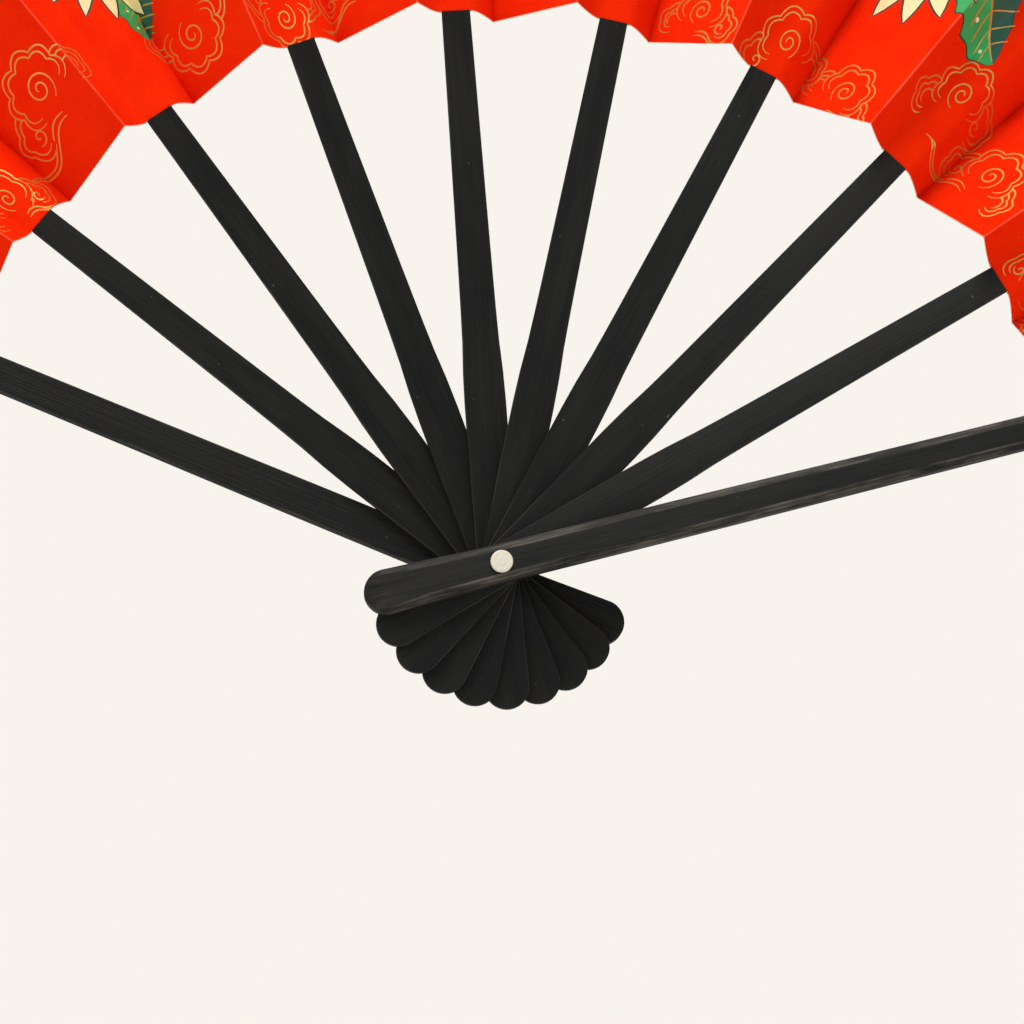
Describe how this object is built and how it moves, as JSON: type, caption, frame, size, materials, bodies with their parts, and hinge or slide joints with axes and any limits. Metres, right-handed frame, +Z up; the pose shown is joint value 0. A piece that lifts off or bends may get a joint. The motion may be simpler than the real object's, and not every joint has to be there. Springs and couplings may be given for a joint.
{
  "type": "folding fan",
  "caption": "Open folding fan: black-stained bamboo guards and ribs on one rivet, with a pleated red two-ply paper leaf that folds shut.",
  "frame": {"origin": "centre of the rivet's front head face; the rivet's axis runs along +Y", "axes": "+Z up along the middle of the open fan, +X to the right as the painted face is seen, -Y out of the painted face"},
  "size_m": [0.5046, 0.044, 0.2877],
  "materials": {
    "guards": "black-stained bamboo, satin, fine lengthwise grain",
    "ribs": "black-stained bamboo, matte to satin",
    "rivet": "cream-white moulded plastic",
    "leaf_face": "red paper with gold line work and painted flowers",
    "leaf_back": "plain red paper"
  },
  "bodies": {
    "front_guard": {"front_guard": "guards", "rivet": "rivet", "leaf_face_front_guard": "leaf_face", "leaf_back_front_guard": "leaf_back"},
    "rib_1": {"rib_1": "ribs", "leaf_face_rib_1": "leaf_face", "leaf_back_rib_1": "leaf_back", "leaf_face_fold_1": "leaf_face", "leaf_back_fold_1": "leaf_back"},
    "rib_2": {"rib_2": "ribs", "leaf_face_rib_2": "leaf_face", "leaf_back_rib_2": "leaf_back", "leaf_face_fold_2": "leaf_face", "leaf_back_fold_2": "leaf_back"},
    "rib_3": {"rib_3": "ribs", "leaf_face_rib_3": "leaf_face", "leaf_back_rib_3": "leaf_back", "leaf_face_fold_3": "leaf_face", "leaf_back_fold_3": "leaf_back"},
    "rib_4": {"rib_4": "ribs", "leaf_face_rib_4": "leaf_face", "leaf_back_rib_4": "leaf_back", "leaf_face_fold_4": "leaf_face", "leaf_back_fold_4": "leaf_back"},
    "rib_5": {"rib_5": "ribs", "leaf_face_rib_5": "leaf_face", "leaf_back_rib_5": "leaf_back", "leaf_face_fold_5": "leaf_face", "leaf_back_fold_5": "leaf_back"},
    "rib_6": {"rib_6": "ribs", "leaf_face_rib_6": "leaf_face", "leaf_back_rib_6": "leaf_back", "leaf_face_fold_6": "leaf_face", "leaf_back_fold_6": "leaf_back"},
    "rib_7": {"rib_7": "ribs", "leaf_face_rib_7": "leaf_face", "leaf_back_rib_7": "leaf_back", "leaf_face_fold_7": "leaf_face", "leaf_back_fold_7": "leaf_back"},
    "rib_8": {"rib_8": "ribs", "leaf_face_rib_8": "leaf_face", "leaf_back_rib_8": "leaf_back", "leaf_face_fold_8": "leaf_face", "leaf_back_fold_8": "leaf_back"},
    "rear_guard": {"rear_guard": "guards", "leaf_face_rear_guard": "leaf_face", "leaf_back_rear_guard": "leaf_back", "leaf_face_fold_9": "leaf_face", "leaf_back_fold_9": "leaf_back"}
  },
  "joints": [
    {"name": "rib_1_turn", "type": "hinge", "parent": "front_guard", "child": "rib_1", "pos_m": [0, 0, 0], "axis": [0, 1, 0], "range_deg": [0, 15.45], "deforming": ["leaf_face_fold_1", "leaf_back_fold_1"]},
    {"name": "rib_2_turn", "type": "hinge", "parent": "rib_1", "child": "rib_2", "pos_m": [0, 0, 0], "axis": [0, 1, 0], "range_deg": [0, 15.45], "deforming": ["leaf_face_fold_2", "leaf_back_fold_2"]},
    {"name": "rib_3_turn", "type": "hinge", "parent": "rib_2", "child": "rib_3", "pos_m": [0, 0, 0], "axis": [0, 1, 0], "range_deg": [0, 15.45], "deforming": ["leaf_face_fold_3", "leaf_back_fold_3"]},
    {"name": "rib_4_turn", "type": "hinge", "parent": "rib_3", "child": "rib_4", "pos_m": [0, 0, 0], "axis": [0, 1, 0], "range_deg": [0, 15.45], "deforming": ["leaf_face_fold_4", "leaf_back_fold_4"]},
    {"name": "rib_5_turn", "type": "hinge", "parent": "rib_4", "child": "rib_5", "pos_m": [0, 0, 0], "axis": [0, 1, 0], "range_deg": [0, 15.45], "deforming": ["leaf_face_fold_5", "leaf_back_fold_5"]},
    {"name": "rib_6_turn", "type": "hinge", "parent": "rib_5", "child": "rib_6", "pos_m": [0, 0, 0], "axis": [0, 1, 0], "range_deg": [0, 15.45], "deforming": ["leaf_face_fold_6", "leaf_back_fold_6"]},
    {"name": "rib_7_turn", "type": "hinge", "parent": "rib_6", "child": "rib_7", "pos_m": [0, 0, 0], "axis": [0, 1, 0], "range_deg": [0, 15.45], "deforming": ["leaf_face_fold_7", "leaf_back_fold_7"]},
    {"name": "rib_8_turn", "type": "hinge", "parent": "rib_7", "child": "rib_8", "pos_m": [0, 0, 0], "axis": [0, 1, 0], "range_deg": [0, 15.45], "deforming": ["leaf_face_fold_8", "leaf_back_fold_8"]},
    {"name": "rear_guard_turn", "type": "hinge", "parent": "rib_8", "child": "rear_guard", "pos_m": [0, 0, 0], "axis": [0, 1, 0], "range_deg": [0, 15.45], "deforming": ["leaf_face_fold_9", "leaf_back_fold_9"]}
  ],
  "couplings": [
    {"joint": "rib_2_turn", "follows": "rib_1_turn", "ratio": 1},
    {"joint": "rib_3_turn", "follows": "rib_1_turn", "ratio": 1},
    {"joint": "rib_4_turn", "follows": "rib_1_turn", "ratio": 1},
    {"joint": "rib_5_turn", "follows": "rib_1_turn", "ratio": 1},
    {"joint": "rib_6_turn", "follows": "rib_1_turn", "ratio": 1},
    {"joint": "rib_7_turn", "follows": "rib_1_turn", "ratio": 1},
    {"joint": "rib_8_turn", "follows": "rib_1_turn", "ratio": 1},
    {"joint": "rear_guard_turn", "follows": "rib_1_turn", "ratio": 1}
  ]
}
